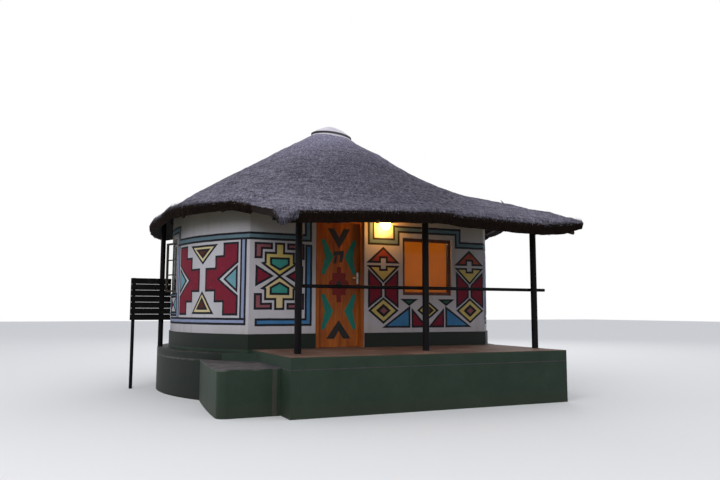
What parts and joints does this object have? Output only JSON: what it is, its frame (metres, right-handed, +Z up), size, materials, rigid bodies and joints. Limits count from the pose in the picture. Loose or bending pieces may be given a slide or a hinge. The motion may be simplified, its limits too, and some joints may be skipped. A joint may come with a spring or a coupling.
{
  "type": "rondavel hut",
  "caption": "Round plastered hut with a thatched cone roof, a flat painted front wall and a raised veranda on posts.",
  "frame": {"origin": "on the axis of the round wall, at the lowest ground level", "axes": "+Z up, -Y towards the veranda and the door, +X to the right seen from the front"},
  "size_m": [7.21, 7.57, 5.1373],
  "materials": {
    "thatch": "weathered grass thatch, matt",
    "plaster": "limewashed plaster with painted patterns",
    "base_paint": "dark green paint on concrete, worn",
    "concrete": "smoothed screed",
    "cement": "weathered cement",
    "poles": "black painted gum poles",
    "roof_timber": "raw gum poles and laths",
    "door_timber": "orange brown timber, varnished and painted",
    "window_timber": "painted timber",
    "pane": "clear",
    "hinge_steel": "dull",
    "handle_steel": "satin",
    "lamp_fitting": "matt",
    "lamp_glass": "opal, lit"
  },
  "bodies": {
    "hut": {"foundation": "base_paint", "apron": "base_paint", "hut_floor": "concrete", "veranda_slab": "base_paint", "veranda_screed": "concrete", "step_block": "base_paint", "plinth_band": "base_paint", "wall_left": "plaster", "wall_side_left": "plaster", "wall_rear_left": "plaster", "wall_rear": "plaster", "wall_rear_right": "plaster", "wall_side_right": "plaster", "wall_right": "plaster", "front_wall_left": "plaster", "front_wall_over_door": "plaster", "front_wall_middle": "plaster", "front_wall_window": "plaster", "front_wall_right": "plaster", "door_frame": "door_timber", "door_hinges": "hinge_steel", "front_window_frame": "door_timber", "front_window_glass": "pane", "side_window_frames": "window_timber", "side_window_sashes": "window_timber", "side_window_glass": "pane", "veranda_posts": "poles", "veranda_rail": "poles", "veranda_beam": "poles", "main_rafters": "roof_timber", "veranda_rafters": "roof_timber", "main_laths": "roof_timber", "veranda_laths": "roof_timber", "apex_block": "roof_timber", "thatch_left": "thatch", "thatch_back": "thatch", "thatch_right": "thatch", "thatch_front": "thatch", "veranda_thatch": "thatch", "roof_cap": "cement", "lamp_base": "lamp_fitting", "lamp_globe": "lamp_glass", "screen_boards": "poles", "screen_posts": "poles"},
    "door": {"door_leaf": "door_timber", "door_handle": "handle_steel"}
  },
  "joints": [
    {"name": "door_hinge", "type": "hinge", "parent": "hut", "child": "door", "pos_m": [-1.032, -1.962, 1.86], "axis": [0, 0, 1], "range_deg": [0, 100]}
  ]
}
